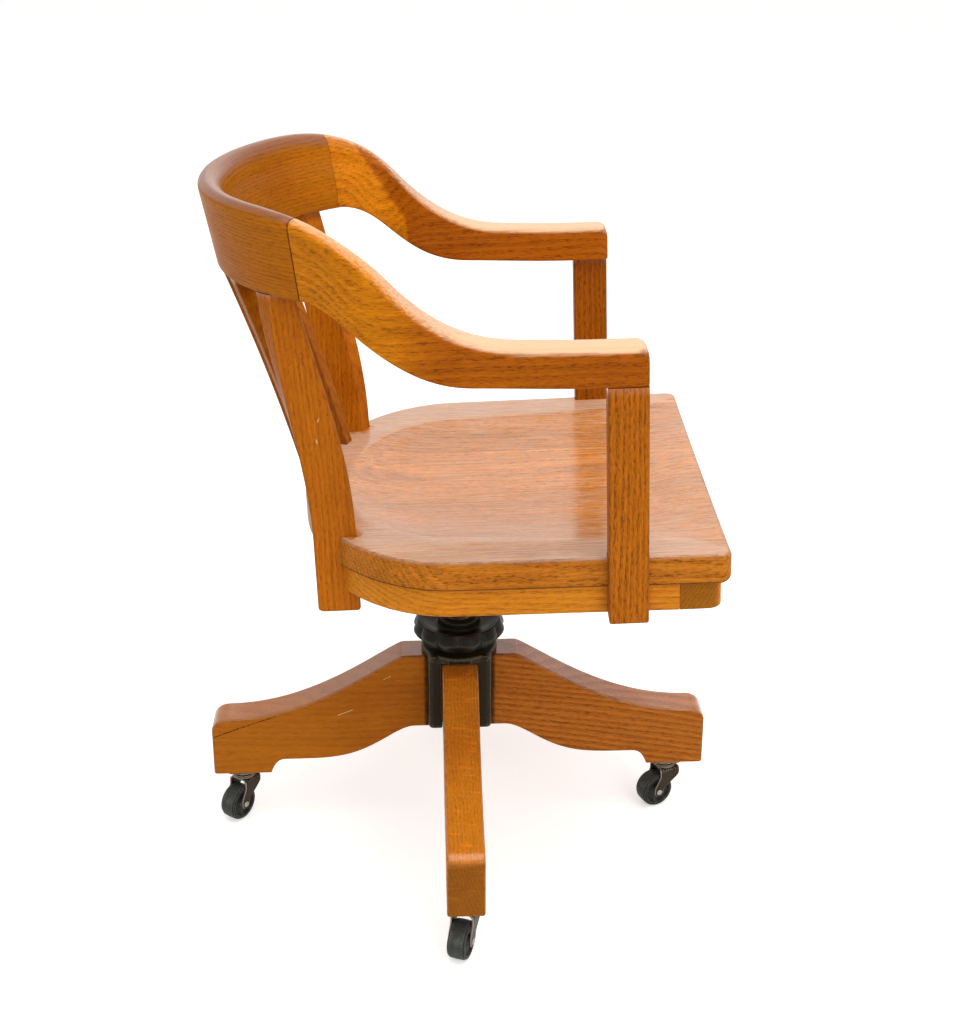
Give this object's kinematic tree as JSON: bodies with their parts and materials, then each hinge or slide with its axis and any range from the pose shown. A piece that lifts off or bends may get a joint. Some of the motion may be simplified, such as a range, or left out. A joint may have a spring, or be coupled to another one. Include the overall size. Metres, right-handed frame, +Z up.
{
  "type": "swivel office armchair",
  "caption": "Oak swivel office armchair with horseshoe crest rail, slatted back, ogee arms and scooped seat, on a tilting screw spindle, cast hub, ogee legs and castors.",
  "frame": {"origin": "on the floor, under the spindle's axis", "axes": "+Z up, the chair faces -Y, +X is the sitter's left"},
  "size_m": [0.6261, 0.6246, 0.8472],
  "materials": {
    "oak": "golden varnished oak, worn along the edges",
    "oak_seat": "varnished oak seat boards with a soft gloss",
    "iron": "black enamelled casting with a green cast",
    "bronze": "dark bronzed sheet steel, bright at the edges",
    "steel": "darkened steel",
    "tread": "hard dark grey castor wheel, scuffed"
  },
  "bodies": {
    "base": {"hub": "iron", "leg_rear": "oak", "leg_left": "oak", "leg_front": "oak", "leg_right": "oak", "castor_plate_rear": "bronze", "castor_plate_left": "bronze", "castor_plate_front": "bronze", "castor_plate_right": "bronze"},
    "swivel": {"swivel_sleeve": "iron"},
    "handwheel": {"handwheel": "iron"},
    "spindle": {"spindle": "steel", "tilt_yoke": "iron"},
    "seat": {"seat": "oak_seat", "skirt_front": "oak", "skirt_left": "oak", "skirt_right": "oak", "skirt_rear": "oak", "arm_left": "oak", "arm_right": "oak", "front_post_left": "oak", "front_post_right": "oak", "crest_rail": "oak", "back_post_left": "oak", "back_post_right": "oak", "back_slat_1": "oak", "back_slat_2": "oak", "back_slat_3": "oak", "back_slat_4": "oak", "back_slat_5": "oak", "back_slat_6": "oak", "seat_iron": "iron", "tilt_axle": "steel", "tilt_spring_left": "steel", "tilt_spring_right": "steel"},
    "castor_rear": {"castor_fork_rear": "bronze", "castor_axle_rear": "steel"},
    "wheel_rear": {"castor_wheel_rear": "tread"},
    "castor_left": {"castor_fork_left": "bronze", "castor_axle_left": "steel"},
    "wheel_left": {"castor_wheel_left": "tread"},
    "castor_front": {"castor_fork_front": "bronze", "castor_axle_front": "steel"},
    "wheel_front": {"castor_wheel_front": "tread"},
    "castor_right": {"castor_fork_right": "bronze", "castor_axle_right": "steel"},
    "wheel_right": {"castor_wheel_right": "tread"}
  },
  "joints": [
    {"name": "seat_swivel", "type": "hinge", "parent": "base", "child": "swivel", "pos_m": [0, 0, 0.2], "axis": [0, 0, 1], "continuous": true},
    {"name": "handwheel_turn", "type": "hinge", "parent": "swivel", "child": "handwheel", "pos_m": [0, 0, 0.265], "axis": [0, 0, 1], "range_deg": [-4252, 2551.2]},
    {"name": "seat_height", "type": "slide", "parent": "swivel", "child": "spindle", "axis": [0, 0, 1], "range_m": [-0.0455, 0.0755]},
    {"name": "seat_tilt", "type": "hinge", "parent": "spindle", "child": "seat", "pos_m": [0, 0, 0.3929], "axis": [-1, 0, 0], "range_deg": [0, 16], "stiffness_Nm_per_rad": 90, "springref_deg": -17.19},
    {"name": "castor_swivel_rear", "type": "hinge", "parent": "base", "child": "castor_rear", "pos_m": [-0.00483, 0.27696, 0.06], "axis": [0, 0, 1], "continuous": true},
    {"name": "wheel_spin_rear", "type": "hinge", "parent": "castor_rear", "child": "wheel_rear", "pos_m": [-0.01671, 0.28528, 0.0222], "axis": [0.5736, 0.8192, 0], "continuous": true},
    {"name": "castor_swivel_left", "type": "hinge", "parent": "base", "child": "castor_left", "pos_m": [0.27696, 0.00483, 0.06], "axis": [0, 0, 1], "continuous": true},
    {"name": "wheel_spin_left", "type": "hinge", "parent": "castor_left", "child": "wheel_left", "pos_m": [0.2644, 0.01208, 0.0222], "axis": [0.5, 0.866, 0], "continuous": true},
    {"name": "castor_swivel_front", "type": "hinge", "parent": "base", "child": "castor_front", "pos_m": [0.00466, -0.26696, 0.06], "axis": [0, 0, 1], "continuous": true},
    {"name": "wheel_spin_front", "type": "hinge", "parent": "castor_front", "child": "wheel_front", "pos_m": [-0.00147, -0.25382, 0.0222], "axis": [0.9063, 0.4226, 0], "continuous": true},
    {"name": "castor_swivel_right", "type": "hinge", "parent": "base", "child": "castor_right", "pos_m": [-0.27696, -0.00483, 0.06], "axis": [0, 0, 1], "continuous": true},
    {"name": "wheel_spin_right", "type": "hinge", "parent": "castor_right", "child": "wheel_right", "pos_m": [-0.29058, 0.00013, 0.0222], "axis": [0.342, 0.9397, 0], "continuous": true}
  ],
  "couplings": [
    {"joint": "seat_height", "follows": "handwheel_turn", "m_per_rad": -0.0010106}
  ]
}
